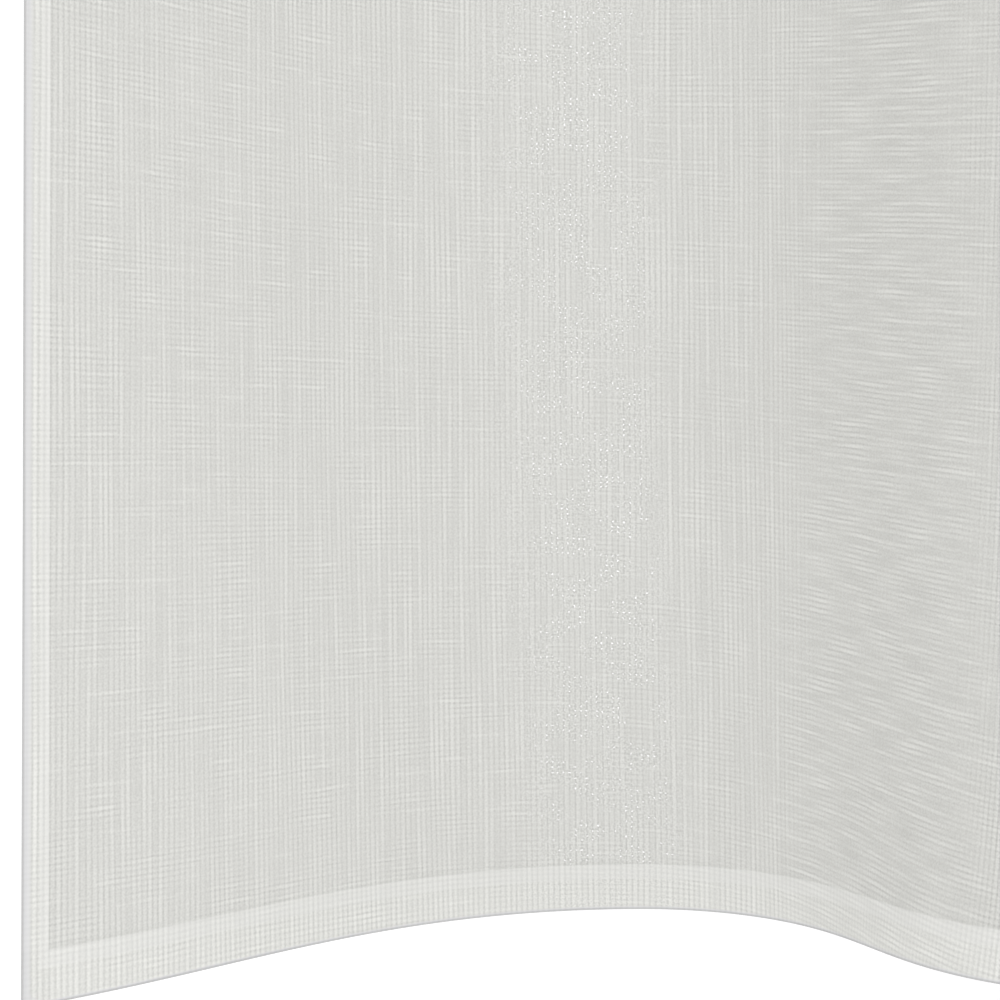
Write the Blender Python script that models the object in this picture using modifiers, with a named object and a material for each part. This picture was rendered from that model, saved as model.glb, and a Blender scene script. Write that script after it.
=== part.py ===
"""A pair of sheer curtains, hanging side by side in soft folds.

Metres, +Z up. The origin is on the line that the curtains hang from, midway between the two
panels. Each panel is one hemmed sheet of cloth. Its front faces -Y, and its outer side edge is
the one away from the other panel.
"""

import math
from collections import namedtuple

import bmesh
import bpy
import numpy as np

# The cloth as it is sewn, lying flat
CLOTH_WIDTH = 1.450
DROP = 2.500
CLOTH_THICKNESS = 0.0010
HEM_THICKNESS = 0.0022
SIDE_HEM = 0.0085
BOTTOM_HEM = 0.016
TOP_HEM = 0.016
HEM_STEP = 0.0006

# How the pair hangs. The outer side edge comes part way back along its first fold.
OUTER_EDGE = 1.055
EDGE_CUT = 0.0925
HALF_DEPTH = 0.083
LEAN_HEIGHT = 0.300
LIFT_HEIGHT = 0.250

# The mesh
PLAN_STEPS = 800
SLANT_SAMPLES = 200
SLANT_STEPS = 40
COLUMN_WIDTH = 0.018
BODY_ROWS = 12
ROW_CROWDING = 1.7

CLOTH_COLOUR = (0.70, 0.71, 0.67, 1.0)
CLOTH_ROUGHNESS = 0.85

# One row for each half fold, from the outer side edge inwards, going back and forward in turn.
# cloth: the cloth in it, depth: how far back its inner line is, lean: how far that line moves
# along the cloth higher up, lift: how far the hem rises at that line.
Fold = namedtuple("Fold", "cloth depth lean lift")
LEFT_FOLDS = (
    Fold(cloth=0.322, depth=0.154, lean=-0.030, lift=0.0025),
    Fold(cloth=0.215, depth=0.010, lean=0.030, lift=0.009),
    Fold(cloth=0.246, depth=0.158, lean=-0.012, lift=0.003),
    Fold(cloth=0.238, depth=0.000, lean=-0.024, lift=0.006),
    Fold(cloth=0.262, depth=0.165, lean=0.010, lift=0.001),
    Fold(cloth=0.228, depth=0.012, lean=0.022, lift=0.005),
    Fold(cloth=0.250, depth=0.150, lean=0.000, lift=0.002),
)
RIGHT_FOLDS = (
    Fold(cloth=0.300, depth=0.160, lean=-0.018, lift=0.002),
    Fold(cloth=0.240, depth=0.004, lean=0.020, lift=0.006),
    Fold(cloth=0.236, depth=0.150, lean=-0.004, lift=0.000),
    Fold(cloth=0.258, depth=0.008, lean=0.012, lift=0.007),
    Fold(cloth=0.240, depth=0.164, lean=-0.006, lift=0.002),
    Fold(cloth=0.244, depth=0.000, lean=0.014, lift=0.004),
    Fold(cloth=0.250, depth=0.146, lean=0.000, lift=0.001),
)


def slant_for(share):
    """The steepest angle in plan of a half fold that goes back by this share of its cloth."""
    bend = np.sin(math.pi * (np.arange(SLANT_SAMPLES) + 0.5) / SLANT_SAMPLES)
    low = 0
    high = math.pi / 2
    for _ in range(SLANT_STEPS):
        slant = (low + high) / 2
        if np.sin(slant * bend).mean() < share:
            low = slant
        else:
            high = slant
    return slant


def fold_lines(folds, height):
    """Where the front and back lines of the folds are along the cloth, this high above the hem."""
    moved = 1 - math.exp(-height / LEAN_HEIGHT)
    reach = -EDGE_CUT
    lines = [reach]
    for fold in folds:
        reach += fold.cloth
        lines.append(reach + fold.lean * moved)
    return lines


def plan_curve(folds, height):
    """The sheet seen from above at one height: distances along the cloth, and x and y there."""
    cloth = np.linspace(-EDGE_CUT, CLOTH_WIDTH, PLAN_STEPS)
    middle = (cloth[1:] + cloth[:-1]) / 2
    lines = fold_lines(folds, height)
    angle = np.zeros_like(middle)
    depth = 0
    for index, fold in enumerate(folds):
        length = lines[index + 1] - lines[index]
        share = (middle - lines[index]) / length
        inside = (share >= 0) & (share < 1)
        way = math.copysign(1, fold.depth - depth)
        slant = way * slant_for(abs(fold.depth - depth) / length)
        angle[inside] = slant * np.sin(math.pi * share[inside])
        depth = fold.depth
    step = np.diff(cloth)
    x = np.concatenate([[0], np.cumsum(np.cos(angle) * step)])
    y = np.concatenate([[0], np.cumsum(np.sin(angle) * step)])
    return cloth, x - np.interp(0, cloth, x), y


def hem_lift(folds, along):
    """How far the hem rises at a distance along the cloth, eased from one fold line to the next."""
    lines = fold_lines(folds, 0)
    lifts = [0] + [fold.lift for fold in folds]
    for index in range(len(folds)):
        share = (along - lines[index]) / (lines[index + 1] - lines[index])
        if share < 1:
            eased = (1 - math.cos(math.pi * share)) / 2
            return lifts[index] + (lifts[index + 1] - lifts[index]) * eased
    return lifts[-1]


def column_places():
    """Distances along the cloth of the mesh's columns, with a step at each side hem's inner edge."""
    start = SIDE_HEM + HEM_STEP
    end = CLOTH_WIDTH - start
    body = np.linspace(start, end, round((end - start) / COLUMN_WIDTH) + 1)
    return [0, SIDE_HEM, *body, CLOTH_WIDTH - SIDE_HEM, CLOTH_WIDTH]


def row_heights():
    """Heights of the mesh's rows above the bottom edge, closest together low down."""
    start = BOTTOM_HEM + HEM_STEP
    end = DROP - TOP_HEM - HEM_STEP
    body = start + (end - start) * np.linspace(0, 1, BODY_ROWS + 1) ** ROW_CROWDING
    return [0, BOTTOM_HEM, *body, DROP - TOP_HEM, DROP]


def in_hem(along, height):
    """True in the strip of turned cloth round the panel's four edges."""
    near_side = min(along, CLOTH_WIDTH - along) <= SIDE_HEM
    return near_side or height <= BOTTOM_HEM or height >= DROP - TOP_HEM


def cloth_material():
    material = bpy.data.materials.new("sheer_cloth")
    material.use_nodes = True
    shader = material.node_tree.nodes["Principled BSDF"]
    shader.inputs["Base Color"].default_value = CLOTH_COLOUR
    shader.inputs["Roughness"].default_value = CLOTH_ROUGHNESS
    shader.inputs["Metallic"].default_value = 0.0
    return material


def make_panel(name, folds, side, material, collection):
    """One curtain: a grid bent into its folds, thickened to the back. side is -1 left, 1 right."""
    columns = column_places()
    rows = row_heights()
    last_column = len(columns) - 1
    last_row = len(rows) - 1
    grid = bmesh.new()
    bmesh.ops.create_grid(grid, x_segments=last_column, y_segments=last_row, size=1)
    hem_vertices = []
    curves = [plan_curve(folds, height) for height in rows]
    grid.verts.ensure_lookup_table()
    for vertex in grid.verts:
        along = columns[round((vertex.co.x + 1) / 2 * last_column)]
        row = round((vertex.co.y + 1) / 2 * last_row)
        cloth, x, y = curves[row]
        height = rows[row]
        faded = max(0, 1 - height / LIFT_HEIGHT)
        if in_hem(along, height):
            hem_vertices.append(vertex.index)
        vertex.co.x = side * (OUTER_EDGE - float(np.interp(along, cloth, x)))
        vertex.co.y = float(np.interp(along, cloth, y)) - HALF_DEPTH
        vertex.co.z = height - DROP + hem_lift(folds, along) * faded
    if side > 0:
        bmesh.ops.reverse_faces(grid, faces=grid.faces)
    mesh = bpy.data.meshes.new(name)
    grid.to_mesh(mesh)
    grid.free()
    mesh.materials.append(material)
    mesh.shade_smooth()
    panel = bpy.data.objects.new(name, mesh)
    collection.objects.link(panel)
    hem = panel.vertex_groups.new(name="hem")
    hem.add(hem_vertices, 1.0, "REPLACE")
    shell = panel.modifiers.new("thickness", "SOLIDIFY")
    shell.thickness = HEM_THICKNESS
    shell.offset = -1
    shell.vertex_group = hem.name
    shell.thickness_vertex_group = CLOTH_THICKNESS / HEM_THICKNESS
    return panel


def main():
    for old in list(bpy.data.objects):
        bpy.data.objects.remove(old)
    collection = bpy.data.collections.new("sheer_curtain_pair")
    bpy.context.scene.collection.children.link(collection)
    cloth = cloth_material()
    make_panel("panel_left", LEFT_FOLDS, -1, cloth, collection)
    make_panel("panel_right", RIGHT_FOLDS, 1, cloth, collection)


main()
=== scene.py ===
"""A pair of sheer curtains in a slubbed plain weave, with hems turned to the back.

Metres, +Z up. The origin is on the line that the curtains hang from, midway between the two
panels. The front faces -Y, and a panel's outer side edge is the one away from the other panel.
"""

import math
from collections import namedtuple

import bmesh
import bpy
import numpy as np
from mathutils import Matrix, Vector


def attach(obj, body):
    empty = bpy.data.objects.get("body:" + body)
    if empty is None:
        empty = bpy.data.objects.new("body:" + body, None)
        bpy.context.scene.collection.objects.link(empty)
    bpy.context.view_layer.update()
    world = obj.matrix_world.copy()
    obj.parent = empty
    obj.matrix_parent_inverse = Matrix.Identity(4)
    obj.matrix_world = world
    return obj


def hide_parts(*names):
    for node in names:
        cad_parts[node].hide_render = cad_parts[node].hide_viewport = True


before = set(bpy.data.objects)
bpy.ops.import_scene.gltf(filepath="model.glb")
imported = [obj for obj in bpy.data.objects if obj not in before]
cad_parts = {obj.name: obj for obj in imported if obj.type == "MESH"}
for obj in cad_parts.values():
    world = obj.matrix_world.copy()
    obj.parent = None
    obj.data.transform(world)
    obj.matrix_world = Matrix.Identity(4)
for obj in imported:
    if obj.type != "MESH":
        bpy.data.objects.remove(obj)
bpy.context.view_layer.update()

# The cloth as it is sewn, lying flat. Each hem is turned twice, with its raw edge turned in by a
# share of its width. Its layers are how far its middle and its back lie behind its front.
CLOTH_WIDTH = 1.450
DROP = 2.500
SIDE_HEM = 0.0085
END_HEM = 0.016
TURNED_SHARE = 0.34
SIDE_LAYERS = (0.00025, 0.0005)
END_LAYERS = (0.0004, 0.0008)

# How the pair hangs, as in the solids. The sheet lies the skin's depth behind a solid's front.
OUTER_EDGE = 1.055
EDGE_CUT = 0.0925
HALF_DEPTH = 0.083
LEAN_HEIGHT = 0.300
LIFT_HEIGHT = 0.250
SKIN = 0.0002

# One row for each half fold, from the outer side edge inwards, going back and forward in turn.
# cloth: the cloth in it, depth: how far back its inner line is, lean: how far that line moves
# along the cloth higher up, lift: how far the hem rises there, bow: how far the weft has
# dropped there.
Fold = namedtuple("Fold", "cloth depth lean lift bow")
LEFT_FOLDS = (
    Fold(cloth=0.322, depth=0.154, lean=-0.030, lift=0.0025, bow=0.004),
    Fold(cloth=0.215, depth=0.010, lean=0.030, lift=0.009, bow=0.0285),
    Fold(cloth=0.246, depth=0.158, lean=-0.012, lift=0.003, bow=0.020),
    Fold(cloth=0.238, depth=0.000, lean=-0.024, lift=0.006, bow=0.026),
    Fold(cloth=0.262, depth=0.165, lean=0.010, lift=0.001, bow=0.010),
    Fold(cloth=0.228, depth=0.012, lean=0.022, lift=0.005, bow=0.016),
    Fold(cloth=0.250, depth=0.150, lean=0.000, lift=0.002, bow=0.004),
)
RIGHT_FOLDS = (
    Fold(cloth=0.300, depth=0.160, lean=-0.018, lift=0.002, bow=0.003),
    Fold(cloth=0.240, depth=0.004, lean=0.020, lift=0.006, bow=0.014),
    Fold(cloth=0.236, depth=0.150, lean=-0.004, lift=0.000, bow=0.009),
    Fold(cloth=0.258, depth=0.008, lean=0.012, lift=0.007, bow=0.016),
    Fold(cloth=0.240, depth=0.164, lean=-0.006, lift=0.002, bow=0.005),
    Fold(cloth=0.244, depth=0.000, lean=0.014, lift=0.004, bow=0.010),
    Fold(cloth=0.250, depth=0.146, lean=0.000, lift=0.001, bow=0.000),
)

# The fine mesh
PLAN_STEPS = 1600
SLANT_SAMPLES = 200
SLANT_STEPS = 40
COLUMN_WIDTH = 0.0029
BODY_ROWS = 104
ROW_CROWDING = 1.5

# Points on each stretch of a hem, from its raw edge to the body. All but the first stretch begin
# at the last point of the one before.
RAW_POINTS = 4
TURN_POINTS = 5
BACK_POINTS = 6
FOLD_POINTS = 4
FRONT_POINTS = 5

# The threads. A slack place moves the wefts by up to a share of their pitch. How far they drop
# is evened out over the blur to each side.
PAIR_PITCH = 0.00196
WEFT_PITCH = 0.00178
SLACK_SHARE = 0.22
BOW_BLUR = 0.040
BOW_SAMPLES = 9

# The waves in which threads stray from even lines. size: how far they stray, along and up: the
# wave's radians to a metre each way, start: its radians at the cloth's corner.
Wave = namedtuple("Wave", "size along up start")
WARP_WAVES = (
    Wave(size=0.00012, along=150, up=55, start=0),
    Wave(size=0.00012, along=97, up=-38, start=2),
    Wave(size=0.00018, along=210, up=20, start=4),
)
WEFT_WAVES = (
    Wave(size=0.00015, along=61, up=85, start=0),
    Wave(size=0.00015, along=43, up=-70, start=1),
    Wave(size=0.00045, along=9, up=105, start=2),
)

# Noise over the weave. x and y: its grains to a metre, to a warp pair or to a weft, aside and
# raised: how many grains it is moved, so that no two run alike.
Grain = namedtuple("Grain", "x y aside raised")
SLACK_GRAIN = Grain(x=85, y=140, aside=0, raised=30)
WARP_GRAIN = Grain(x=1.15, y=24, aside=0, raised=0)
WEFT_GRAIN = Grain(x=58, y=0.85, aside=0, raised=0)
PATCH_GRAIN = Grain(x=60, y=70, aside=20, raised=0)
CELL_GRAIN = Grain(x=2.8, y=2.8, aside=9, raised=0)

# Where things set in and where they are whole: by noise, by how squarely the cloth faces the
# front, by how far a place is from the threads' middles, and by the way in from the cloth's edge,
# in hem widths or in metres. The fold and rim ways set where painted shade lies along a hem's
# outer fold and its very edge. The painted fold shade is this many times narrower along the end
# edges.
SLACK_LOOSE = (0.22, 0.62)
NOISE_PATCH = (0.42, 0.66)
NOISE_RUN = (0.74, 0.80)
NOISE_HOLE = (0.54, 0.72)
FACING_ACROSS = (0.52, 0.71)
FACING_SQUARE = (0.93, 1.0)
GAP_HOLE = (0.40, 0.85)
WIDTHS_HEM = (1.03, 0.97)
WIDTHS_INNER = (0.99 - TURNED_SHARE, 1.03 - TURNED_SHARE)
WAY_FOLD_SHADE = (0.0034, 0.0016)
WAY_RIM_SHADE = (0.0010, 0.0003)
END_FOLD_SHADE_TIMES = 2.2

# How strongly the weave shows where the cloth lies steep and where it lies across, and what a
# patch of wefts adds
WARP_SHOWS = (0.05, 1.0)
FILLING_SHOWS = (0.50, 0.10)
SLUBS_SHOW = (0.7, 0.1)
RUNS_SHOW = (0.05, 0.24)
PATCH_ADDS = 0.42

# The same where the cloth doesn't lie square to the front and where it does, and how much more
# uneven the weave is in a loose place
ENDS_SHOW = (0.42, 0.95)
CONTRAST = (1.18, 1.0)
LOOSE_ADDS = 1.9

# Strengths between two warp pairs and on one, and of the thinnest and the thickest weft. A mean
# is what is taken off, so that stronger threads don't change the cloth's colour as a whole.
PAIR_STRENGTH = (-0.46, 1.18)
WEFT_STRENGTH = (-0.1, 2.1)
WARP_MEAN = 0.18
ENDS_MEAN = 0.5
FILLING_MEAN = 0.625
NOISE_MEAN = 0.5
COVER_RANGE = (-1.0, 0.8)

# Colours in display levels: between the threads, on them, and of the painted shade on a hem's
# outer fold
GAP_LEVELS = (195, 195, 191)
THREAD_LEVELS = (213, 213, 209)
FOLD_SHADE_LEVELS = (201, 201, 202)

# What a hem's layers change: the light that comes back, the grey in the colour, and the contrast
# between threads and gaps. The rim and fold values paint shade: darker along the very edge, and
# grey-blue with the threads hidden in the band where the outer fold turns away from the light.
HEM_BRIGHT = 0.28
INNER_BRIGHT = 0.07
RIM_SHADE = -0.34
HEM_GREY = 0.12
INNER_GREY = 0.12
FOLD_SHADE_GREY = 0.8
HEM_CONTRAST = -0.25
INNER_CONTRAST = -0.35
FOLD_SHADE_CONTRAST = -0.6

# The cloth's surface: how much of what is behind it the body hides, what threads and pinholes
# change, and the share of light that shines through, in the body and in a hem
BODY_HIDES = 0.88
PAIR_HIDES = 0.05
WEFT_HIDES = 0.03
HOLE_HIDES = -0.80
THROUGH_SHARES = (0.35, 0.05)
CLOTH_ROUGHNESS = 0.88
CLOTH_SPECULAR = 0.15

# The camera, in front of the left panel's outer lower corner. The centre pixel is what it looks
# straight at, and the edge pixel is the column of the panel's outer edge.
FOCAL_PIXELS = 2116
IMAGE_PIXELS = 1000
CENTRE_PIXEL = (540, 449.6)
EDGE_PIXEL = 21.5
EDGE_DISTANCE = 0.6136
CAMERA_ABOVE_HEM = 0.1602
SENSOR_WIDTH = 36.0
NEAREST = 0.01
FARTHEST = 200.0

# The studio
WHITE = (1.0, 1.0, 1.0, 1.0)
FLOOR_GAP = 0.020
FLOOR_SIZE = 40.0
FLOOR_COLOUR = (0.45, 0.45, 0.45, 1.0)
FLOOR_ROUGHNESS = 0.9
FLOOR_GLOW = 0.61
WORLD_STRENGTH = 1.14
LIGHT_BOUNCES = 2
Softbox = namedtuple("Softbox", "name place target size power")
SOFTBOXES = (
    Softbox(name="key", place=(1.2, -2.6, -1.0), target=(-0.2, 0.0, -1.6), size=1.6, power=3.0),
    Softbox(name="top", place=(0.0, -0.6, 2.2), target=(0.0, 0.0, -2.5), size=2.0, power=12.0),
)


# The hanging form

def slant_for(share):
    """The steepest angle in plan of a half fold that goes back by this share of its cloth."""
    bend = np.sin(math.pi * (np.arange(SLANT_SAMPLES) + 0.5) / SLANT_SAMPLES)
    low = 0
    high = math.pi / 2
    for _ in range(SLANT_STEPS):
        slant = (low + high) / 2
        if np.sin(slant * bend).mean() < share:
            low = slant
        else:
            high = slant
    return slant


def fold_lines(folds, height):
    """Where the front and back lines of the folds are along the cloth, this high above the hem."""
    moved = 1 - math.exp(-height / LEAN_HEIGHT)
    reach = -EDGE_CUT
    lines = [reach]
    for fold in folds:
        reach += fold.cloth
        lines.append(reach + fold.lean * moved)
    return lines


def plan_curve(folds, height):
    """The sheet from above at one height: distances along the cloth, x, y and angle there."""
    cloth = np.linspace(-EDGE_CUT, CLOTH_WIDTH, PLAN_STEPS)
    middle = (cloth[1:] + cloth[:-1]) / 2
    lines = fold_lines(folds, height)
    angle = np.zeros_like(middle)
    depth = 0
    for index, fold in enumerate(folds):
        length = lines[index + 1] - lines[index]
        share = (middle - lines[index]) / length
        inside = (share >= 0) & (share < 1)
        way = math.copysign(1, fold.depth - depth)
        slant = way * slant_for(abs(fold.depth - depth) / length)
        angle[inside] = slant * np.sin(math.pi * share[inside])
        depth = fold.depth
    step = np.diff(cloth)
    x = np.concatenate([[0], np.cumsum(np.cos(angle) * step)])
    y = np.concatenate([[0], np.cumsum(np.sin(angle) * step)])
    return cloth, x - np.interp(0, cloth, x), y, np.interp(cloth, middle, angle)


def hem_lift(folds, places):
    """How far the hem rises at places along the cloth, eased from one fold line to the next."""
    lines = fold_lines(folds, 0)
    lifts = [0] + [fold.lift for fold in folds]
    result = np.full(len(places), float(lifts[-1]))
    for index in range(len(folds)):
        share = (places - lines[index]) / (lines[index + 1] - lines[index])
        inside = (share >= 0) & (share < 1)
        eased = (1 - np.cos(math.pi * share[inside])) / 2
        result[inside] = lifts[index] + (lifts[index + 1] - lifts[index]) * eased
    return result


def weft_drop(folds, places):
    """How far the weft has dropped at places along the cloth, evened out over a short way."""
    lines = fold_lines(folds, 0)
    drops = [0] + [fold.bow for fold in folds]
    shifts = np.linspace(-BOW_BLUR, BOW_BLUR, BOW_SAMPLES)
    return np.mean([np.interp(places + shift, lines, drops) for shift in shifts], axis=0)


# The sheet's columns and rows, with their hems turned twice to the back. place: how far along the
# finished panel, depth: how far behind its front, cloth: how far along the cloth, less than 0 and
# more than the panel's size in what is turned back.

Path = namedtuple("Path", "place depth cloth")


def bend(place, depth, radius, start, end, count):
    """Places and depths round a bend, after its first point. start and end are in degrees."""
    angles = np.radians(np.linspace(start, end, count)[1:])
    return [(place + radius * math.cos(turn), depth + radius * math.sin(turn)) for turn in angles]


def hem_path(width, layers):
    """From a hem's raw edge, round its outer fold, to the body: place, depth and cloth."""
    middle, back = layers
    inner = (back - middle) / 2
    outer = back / 2
    raw_edge = width * (1 - TURNED_SHARE)
    turned = [(place, middle) for place in np.linspace(raw_edge, width - inner, RAW_POINTS)]
    turned += bend(width - inner, middle + inner, inner, -90, 90, TURN_POINTS)
    turned += [(place, back) for place in np.linspace(width - inner, outer, BACK_POINTS)[1:]]
    turned += bend(outer, outer, outer, 90, 180, FOLD_POINTS)
    front = bend(outer, outer, outer, 180, 270, FOLD_POINTS)
    front += [(place, 0.0) for place in np.linspace(outer, width, FRONT_POINTS)[1:]]
    steps = np.hypot(*np.diff(np.array(turned), axis=0).T)
    used = np.concatenate([[0], np.cumsum(steps)])
    path = [(place, depth, cloth - used[-1]) for (place, depth), cloth in zip(turned, used)]
    return path + [(place, depth, place) for place, depth in front]


def whole_path(length, hem, layers, body):
    """Hem, body and hem along one way of the cloth."""
    near = hem_path(hem, layers)
    far = [(length - place, depth, length - cloth) for place, depth, cloth in reversed(near)]
    return Path(*np.array(near + [(place, 0.0, place) for place in body] + far).T)


def column_path():
    count = round((CLOTH_WIDTH - 2 * SIDE_HEM) / COLUMN_WIDTH)
    body = np.linspace(SIDE_HEM, CLOTH_WIDTH - SIDE_HEM, count + 1)[1:-1]
    return whole_path(CLOTH_WIDTH, SIDE_HEM, SIDE_LAYERS, body)


def row_path():
    reach = np.linspace(0, 1, BODY_ROWS + 1)[1:-1] ** ROW_CROWDING
    body = END_HEM + (DROP - 2 * END_HEM) * reach
    return whole_path(DROP, END_HEM, END_LAYERS, body)


# The panels

def waves_at(waves, along, up):
    """The sum of the waves at places on the cloth."""
    turns = [wave.along * along + wave.up * up + wave.start for wave in waves]
    return sum(wave.size * np.sin(turn) for wave, turn in zip(waves, turns))


def strayed(along, up):
    """Where places on the cloth fall among evenly laid threads, which stray a little."""
    return along + waves_at(WARP_WAVES, along, up), up + waves_at(WEFT_WAVES, along, up)


def edge_measures(along, up):
    """The way in from the nearest edge: in hem widths, as the painted fold shade counts it, in
    metres.
    """
    side = np.abs(np.minimum(along, CLOTH_WIDTH - along))
    end = np.abs(np.minimum(up, DROP - up))
    across = np.minimum(side / SIDE_HEM, end / END_HEM)
    fold_shade_way = np.minimum(side, end * END_FOLD_SHADE_TIMES)
    return np.stack([across, fold_shade_way, np.minimum(side, end)], axis=1)


def panel_form(folds, side, columns, rows):
    """The place of each row and column, and how squarely the cloth faces the front there."""
    lift = hem_lift(folds, columns.place)
    behind = SKIN + columns.depth
    points = np.zeros((len(rows.place), len(columns.place), 3))
    facing = np.zeros(points.shape[:2])
    for row, (height, depth) in enumerate(zip(rows.place, rows.depth)):
        cloth, x, y, angle = plan_curve(folds, height)
        turned = np.interp(columns.place, cloth, angle)
        plan_x = np.interp(columns.place, cloth, x) - np.sin(turned) * behind
        plan_y = np.interp(columns.place, cloth, y) + np.cos(turned) * behind + depth
        faded = max(0, 1 - height / LIFT_HEIGHT)
        points[row, :, 0] = side * (OUTER_EDGE - plan_x)
        points[row, :, 1] = plan_y - HALF_DEPTH
        points[row, :, 2] = height - DROP + lift * faded
        facing[row] = np.cos(turned)
    return points, facing


def grid_mesh(name, columns, rows, reverse):
    """A flat grid of this many columns and rows of points, and the row and column of each."""
    grid = bmesh.new()
    bmesh.ops.create_grid(grid, x_segments=columns - 1, y_segments=rows - 1, size=1)
    if reverse:
        bmesh.ops.reverse_faces(grid, faces=grid.faces)
    mesh = bpy.data.meshes.new(name)
    grid.to_mesh(mesh)
    grid.free()
    place = np.zeros(rows * columns * 3)
    mesh.vertices.foreach_get("co", place)
    place = place.reshape(-1, 3)
    row = np.rint((place[:, 1] + 1) / 2 * (rows - 1)).astype(int)
    column = np.rint((place[:, 0] + 1) / 2 * (columns - 1)).astype(int)
    return mesh, row, column


def add_uv(mesh, name, u, v):
    """A layer of texture coordinates, given for each point of the mesh."""
    corner = np.zeros(len(mesh.loops), dtype=int)
    mesh.loops.foreach_get("vertex_index", corner)
    layer = mesh.uv_layers.new(name=name)
    layer.data.foreach_set("uv", np.stack([u, v], axis=1)[corner].ravel())


def make_panel(name, folds, side, material):
    """One curtain, a thin sheet on its solid's folds. side: -1 for the left, 1 for the right."""
    columns = column_path()
    rows = row_path()
    points, facing = panel_form(folds, side, columns, rows)
    mesh, row, column = grid_mesh(name, len(columns.place), len(rows.place), side > 0)
    mesh.vertices.foreach_set("co", points[row, column].ravel())

    # The cloth layer is the panel laid flat, in metres. The weave is drawn on the threads layer.
    along = columns.cloth[column]
    up = rows.cloth[row]
    drop = weft_drop(folds, columns.cloth)[column]
    add_uv(mesh, "cloth", along, up)
    add_uv(mesh, "threads", *strayed(along, up + drop))
    square = mesh.attributes.new("facing", "FLOAT", "POINT")
    square.data.foreach_set("value", facing[row, column])
    edges = mesh.attributes.new("edges", "FLOAT_VECTOR", "POINT")
    edges.data.foreach_set("vector", edge_measures(along, up).ravel())

    mesh.materials.append(material)
    mesh.shade_smooth()
    mesh.update()
    panel = bpy.data.objects.new(name, mesh)
    bpy.context.scene.collection.objects.link(panel)
    return panel


# The cloth's material

HemParts = namedtuple("HemParts", "hem inner fold rim")
Threads = namedtuple("Threads", "along up slack pairs wefts pair weft")
Lie = namedtuple("Lie", "across square")


def linear(levels):
    """A colour in 0 to 255 display levels, as the linear values that a shader takes."""
    shares = [level / 255 for level in levels]
    return [s / 12.92 if s < 0.04045 else ((s + 0.055) / 1.055) ** 2.4 for s in shares] + [1.0]


class Nodes:
    """Adds nodes to one material. A value is a number or another node's output."""

    def __init__(self, material):
        material.use_nodes = True
        self.tree = material.node_tree
        self.tree.nodes.clear()

    def add(self, kind, settings=None, **values):
        """A node with these settings and socket values. A socket's spaces are written as _."""
        node = self.tree.nodes.new(kind)
        for name, value in (settings or {}).items():
            setattr(node, name, value)
        for name, value in values.items():
            self.feed(node.inputs[name.replace("_", " ")], value)
        return node

    def feed(self, socket, value):
        if isinstance(value, bpy.types.NodeSocket):
            self.tree.links.new(value, socket)
        else:
            socket.default_value = value

    def math(self, operation, *values):
        node = self.tree.nodes.new("ShaderNodeMath")
        node.operation = operation
        for socket, value in zip(node.inputs, values):
            self.feed(socket, value)
        return node.outputs[0]

    def scaled(self, value, factor, shift=0.0):
        """The value times the factor, plus the shift."""
        return self.math("MULTIPLY_ADD", value, factor, shift)

    def total(self, start, *terms):
        """The start plus every term, each the product of two values."""
        for value, factor in terms:
            start = self.math("MULTIPLY_ADD", value, factor, start)
        return start

    def product(self, first, *others):
        for other in others:
            first = self.math("MULTIPLY", first, other)
        return first

    def less(self, value, taken):
        return self.math("SUBTRACT", value, taken)

    def blend(self, factor, ends):
        """The first end where the factor is 0, the second where it is 1."""
        low, high = ends
        return self.math("MULTIPLY_ADD", factor, high - low, low)

    def wave(self, turns):
        """A wave from 0 to 1, at its top where the turns are whole."""
        return self.scaled(self.math("COSINE", self.scaled(turns, math.tau)), 0.5, 0.5)

    def ramp(self, value, ends):
        """0 up to the first end, 1 from the second, eased between. The ends may run downwards."""
        node = self.tree.nodes.new("ShaderNodeMapRange")
        node.interpolation_type = "SMOOTHSTEP"
        self.feed(node.inputs["Value"], value)
        self.feed(node.inputs["From Min"], ends[0])
        self.feed(node.inputs["From Max"], ends[1])
        return node.outputs["Result"]

    def noise(self, x, y, grain):
        """Noise from 0 to 1 over two coordinates."""
        x = self.scaled(x, grain.x, grain.aside)
        y = self.scaled(y, grain.y, grain.raised)
        place = self.add("ShaderNodeCombineXYZ", X=x, Y=y)
        node = self.add("ShaderNodeTexNoise", {"noise_dimensions": "2D"},
                        Vector=place.outputs[0], Scale=1.0, Detail=0.0)
        return node.outputs[0]

    def mix_colours(self, factor, first, second, clamp=True):
        node = self.add("ShaderNodeMix", {"data_type": "RGBA", "clamp_factor": clamp})
        self.feed(node.inputs["Factor"], factor)
        self.feed(node.inputs["A"], first)
        self.feed(node.inputs["B"], second)
        return node.outputs["Result"]

    def mix_shaders(self, factor, first, second):
        node = self.add("ShaderNodeMixShader", Fac=factor)
        self.feed(node.inputs[1], first)
        self.feed(node.inputs[2], second)
        return node.outputs[0]


def hem_parts(nodes):
    """1 in a hem, in its inner strip of three layers, in the painted shade of its outer fold, and
    in the painted shade on its rim.
    """
    edges = nodes.add("ShaderNodeAttribute", {"attribute_name": "edges"})
    edges = nodes.add("ShaderNodeSeparateXYZ", Vector=edges.outputs["Vector"])
    hem = nodes.ramp(edges.outputs["X"], WIDTHS_HEM)
    inner = nodes.product(hem, nodes.ramp(edges.outputs["X"], WIDTHS_INNER))
    # Painted shade: the band where a hem's outer fold turns away from the light
    fold = nodes.ramp(edges.outputs["Y"], WAY_FOLD_SHADE)
    # Painted shade: a darker line along the very edge of the cloth
    rim = nodes.ramp(edges.outputs["Z"], WAY_RIM_SHADE)
    return HemParts(hem, inner, fold, rim)


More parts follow.
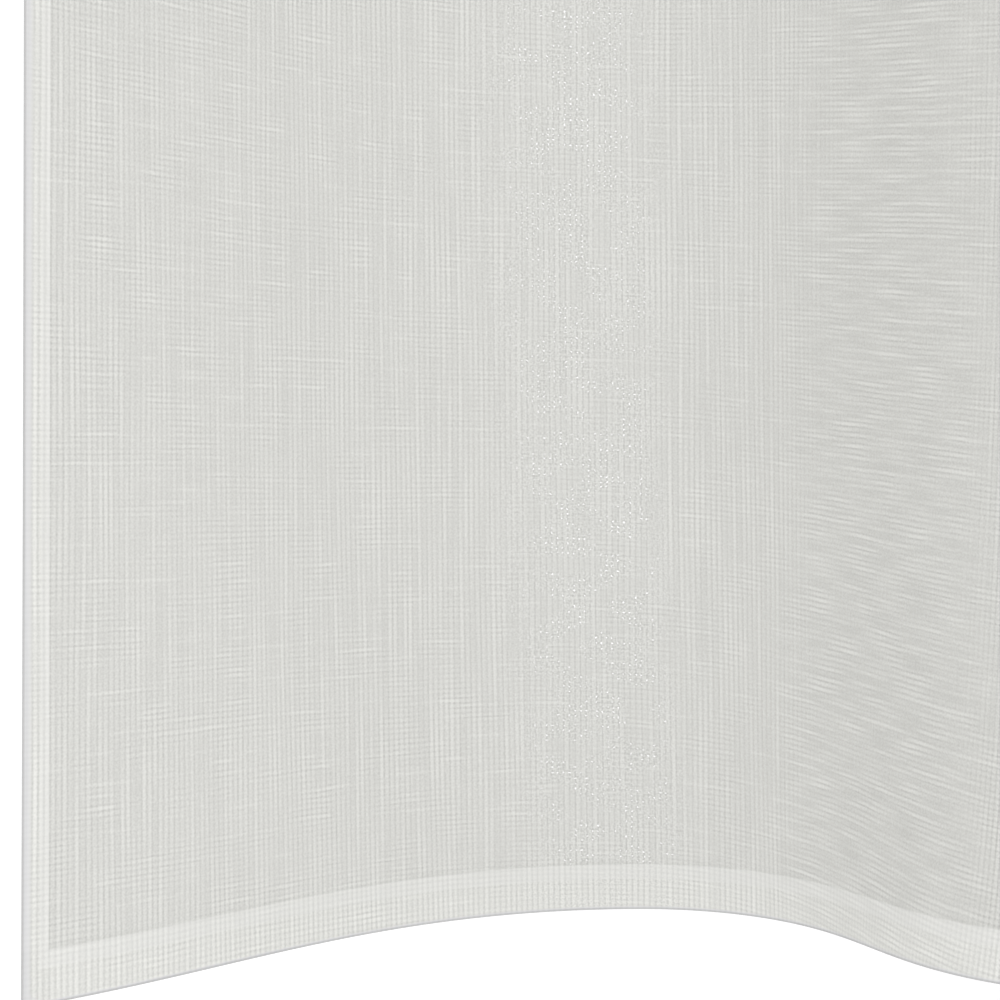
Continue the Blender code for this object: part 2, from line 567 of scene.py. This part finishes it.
def cloth_lie(nodes):
    """1 where the cloth lies across the depth of the folds, and 1 where it lies quite square."""
    facing = nodes.add("ShaderNodeAttribute", {"attribute_name": "facing"}).outputs["Fac"]
    return Lie(nodes.ramp(facing, FACING_ACROSS), nodes.ramp(facing, FACING_SQUARE))


def lay_threads(nodes):
    """Warp pairs, and single wefts that are closer or wider apart where they are slack. Both are
    given as counts, and as waves that are 1 along their middles."""
    place = nodes.add("ShaderNodeUVMap", {"uv_map": "threads"})
    place = nodes.add("ShaderNodeSeparateXYZ", Vector=place.outputs[0])
    along = place.outputs["X"]
    up = place.outputs["Y"]
    slack = nodes.noise(along, up, SLACK_GRAIN)
    pairs = nodes.scaled(along, 1 / PAIR_PITCH)
    wefts = nodes.total(nodes.scaled(up, 1 / WEFT_PITCH), (slack, SLACK_SHARE))
    return Threads(along, up, slack, pairs, wefts, nodes.wave(pairs), nodes.wave(wefts))


def warp_term(nodes, threads, lie):
    """The warp pairs with their two ends, each thicker or thinner along its length."""
    vary = nodes.noise(threads.pairs, threads.up, WARP_GRAIN)
    ends = nodes.product(threads.pair, nodes.scaled(threads.pair, -4.0, 4.0))
    warp = nodes.total(nodes.blend(threads.pair, PAIR_STRENGTH),
                       (nodes.less(ends, ENDS_MEAN), nodes.blend(lie.square, ENDS_SHOW)))
    warp = nodes.total(-WARP_MEAN, (vary, warp))
    return warp, nodes.blend(lie.across, WARP_SHOWS)


def weft_terms(nodes, threads, lie):
    """The wefts, flat-topped and showing in patches, then their slubs and rare bright runs."""
    vary = nodes.noise(threads.along, threads.wefts, WEFT_GRAIN)
    patch = nodes.ramp(nodes.noise(threads.along, threads.up, PATCH_GRAIN), NOISE_PATCH)
    shows = nodes.total(nodes.blend(lie.across, FILLING_SHOWS), (patch, PATCH_ADDS))
    flat = nodes.product(threads.weft, nodes.scaled(threads.weft, -1.0, 2.0))
    filling = nodes.product(nodes.less(flat, FILLING_MEAN), shows)
    run = nodes.product(nodes.ramp(vary, NOISE_RUN), threads.weft)
    return [
        (filling, nodes.blend(vary, WEFT_STRENGTH)),
        (nodes.less(vary, NOISE_MEAN), nodes.blend(lie.across, SLUBS_SHOW)),
        (run, nodes.blend(lie.across, RUNS_SHOW)),
    ]


def thread_cover(nodes, threads, lie, cell, loose):
    """How much thread there is at a place, about 0 on the whole. The warp shows where the cloth
    lies across, the weft where it lies steep."""
    uneven = (nodes.less(cell, NOISE_MEAN), nodes.total(1.0, (loose, LOOSE_ADDS)))
    warp = warp_term(nodes, threads, lie)
    cover = nodes.total(0.0, warp, *weft_terms(nodes, threads, lie), uneven)
    least, most = COVER_RANGE
    return nodes.math("MINIMUM", nodes.math("MAXIMUM", cover, least), most)


def pinholes(nodes, threads, cell, loose, hem):
    """1 in a hole between pairs and wefts. They open in loose clusters, and never in a hem."""
    gap = nodes.product(nodes.less(1.0, threads.pair), nodes.less(1.0, threads.weft))
    return nodes.product(nodes.ramp(gap, GAP_HOLE), nodes.ramp(cell, NOISE_HOLE), loose,
                         nodes.less(1.0, hem))


def cloth_colour(nodes, cover, lie, parts):
    """Threads and gaps, where more layers of cloth send back more light and hide the threads, with
    painted shade: a grey-blue band where a hem's outer fold turns away and a darker line along the
    very edge.
    """
    # In the painted shade of a hem's outer fold the threads show less
    contrast = nodes.total(nodes.blend(lie.square, CONTRAST), (parts.hem, HEM_CONTRAST),
                           (parts.inner, INNER_CONTRAST), (parts.fold, FOLD_SHADE_CONTRAST))
    woven = nodes.mix_colours(nodes.total(0.5, (cover, contrast)), linear(GAP_LEVELS),
                              linear(THREAD_LEVELS), clamp=False)
    # A hem's grey tone, and the painted shade of its outer fold in grey-blue
    grey_and_fold_shade = nodes.total(0.0, (parts.fold, FOLD_SHADE_GREY), (parts.hem, HEM_GREY),
                       (parts.inner, INNER_GREY))
    tinted_and_fold_shaded = nodes.mix_colours(grey_and_fold_shade, woven, linear(FOLD_SHADE_LEVELS))
    # More light sent back by a hem's layers, and painted shade darkening the very edge
    reflectance_and_rim_shade = nodes.total(1.0, (parts.hem, HEM_BRIGHT), (parts.inner, INNER_BRIGHT),
                         (parts.rim, RIM_SHADE))
    lit = nodes.add("ShaderNodeVectorMath", {"operation": "SCALE"}, Vector=tinted_and_fold_shaded, Scale=reflectance_and_rim_shade)
    return lit.outputs[0]


def cloth_surface(nodes, colour, solid, hem):
    """Matt cloth that light shines through in part, and clear gaps between its threads."""
    front = nodes.add("ShaderNodeBsdfPrincipled", Base_Color=colour, Roughness=CLOTH_ROUGHNESS,
                      Specular_IOR_Level=CLOTH_SPECULAR)
    through = nodes.add("ShaderNodeBsdfTranslucent", Color=colour)
    clear = nodes.add("ShaderNodeBsdfTransparent")
    cloth = nodes.mix_shaders(nodes.blend(hem, THROUGH_SHARES), front.outputs[0],
                              through.outputs[0])
    sheer = nodes.mix_shaders(solid, clear.outputs[0], cloth)
    nodes.add("ShaderNodeOutputMaterial", Surface=sheer)


def cloth_material():
    material = bpy.data.materials.new("sheer_weave")
    nodes = Nodes(material)
    threads = lay_threads(nodes)
    lie = cloth_lie(nodes)
    parts = hem_parts(nodes)
    cell = nodes.noise(threads.pairs, threads.wefts, CELL_GRAIN)
    loose = nodes.product(nodes.ramp(threads.slack, SLACK_LOOSE), lie.square)
    cover = thread_cover(nodes, threads, lie, cell, loose)
    hole = pinholes(nodes, threads, cell, loose, parts.hem)
    solid = nodes.total(BODY_HIDES, (threads.pair, PAIR_HIDES), (threads.weft, WEFT_HIDES),
                        (hole, HOLE_HIDES))
    cloth_surface(nodes, cloth_colour(nodes, cover, lie, parts), solid, parts.hem)
    return material


# The studio

def make_floor():
    material = bpy.data.materials.new("pale_floor")
    nodes = Nodes(material)
    shader = nodes.add("ShaderNodeBsdfPrincipled", Base_Color=FLOOR_COLOUR,
                       Roughness=FLOOR_ROUGHNESS, Emission_Color=WHITE,
                       Emission_Strength=FLOOR_GLOW)
    nodes.add("ShaderNodeOutputMaterial", Surface=shader.outputs[0])
    mesh = bpy.data.meshes.new("floor")
    grid = bmesh.new()
    bmesh.ops.create_grid(grid, x_segments=1, y_segments=1, size=FLOOR_SIZE / 2)
    grid.to_mesh(mesh)
    grid.free()
    mesh.materials.append(material)
    floor = bpy.data.objects.new("floor", mesh)
    floor.location.z = -DROP - FLOOR_GAP
    bpy.context.scene.collection.objects.link(floor)


def make_world():
    world = bpy.data.worlds.new("studio")
    world.use_nodes = True
    background = world.node_tree.nodes["Background"]
    background.inputs["Color"].default_value = WHITE
    background.inputs["Strength"].default_value = WORLD_STRENGTH
    bpy.context.scene.world = world


def add_softbox(softbox):
    data = bpy.data.lights.new(softbox.name, "AREA")
    data.shape = "SQUARE"
    data.size = softbox.size
    data.energy = softbox.power
    light = bpy.data.objects.new(softbox.name, data)
    light.location = softbox.place
    aim = Vector(softbox.target) - Vector(softbox.place)
    light.rotation_euler = aim.to_track_quat("-Z", "Y").to_euler()
    bpy.context.scene.collection.objects.link(light)


def make_camera():
    """Level, with the left panel's outer edge at its place in the picture."""
    data = bpy.data.cameras.new("camera")
    data.sensor_width = SENSOR_WIDTH
    data.lens = SENSOR_WIDTH * FOCAL_PIXELS / IMAGE_PIXELS
    data.shift_x = (IMAGE_PIXELS / 2 - CENTRE_PIXEL[0]) / IMAGE_PIXELS
    data.shift_y = (CENTRE_PIXEL[1] - IMAGE_PIXELS / 2) / IMAGE_PIXELS
    data.clip_start = NEAREST
    data.clip_end = FARTHEST
    camera = bpy.data.objects.new("camera", data)
    aside = (CENTRE_PIXEL[0] - EDGE_PIXEL) / FOCAL_PIXELS * EDGE_DISTANCE
    cloth, _, y, _ = plan_curve(LEFT_FOLDS, 0)
    edge_depth = float(np.interp(0, cloth, y)) - HALF_DEPTH
    hem = -DROP + LEFT_FOLDS[0].lift
    camera.location = (aside - OUTER_EDGE, edge_depth - EDGE_DISTANCE, hem + CAMERA_ABOVE_HEM)
    camera.rotation_euler = (math.radians(90), 0, 0)
    bpy.context.scene.collection.objects.link(camera)
    bpy.context.scene.camera = camera


weave = cloth_material()
for name, node, folds, side in (
    ("left_curtain", "panel_left", LEFT_FOLDS, -1),
    ("right_curtain", "panel_right", RIGHT_FOLDS, 1),
):
    panel = make_panel(name, folds, side, weave)
    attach(panel, "root")
    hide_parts(node)

make_floor()
make_world()
for softbox in SOFTBOXES:
    add_softbox(softbox)
make_camera()
bpy.context.scene.cycles.max_bounces = LIGHT_BOUNCES
bpy.context.scene.view_settings.view_transform = "Standard"
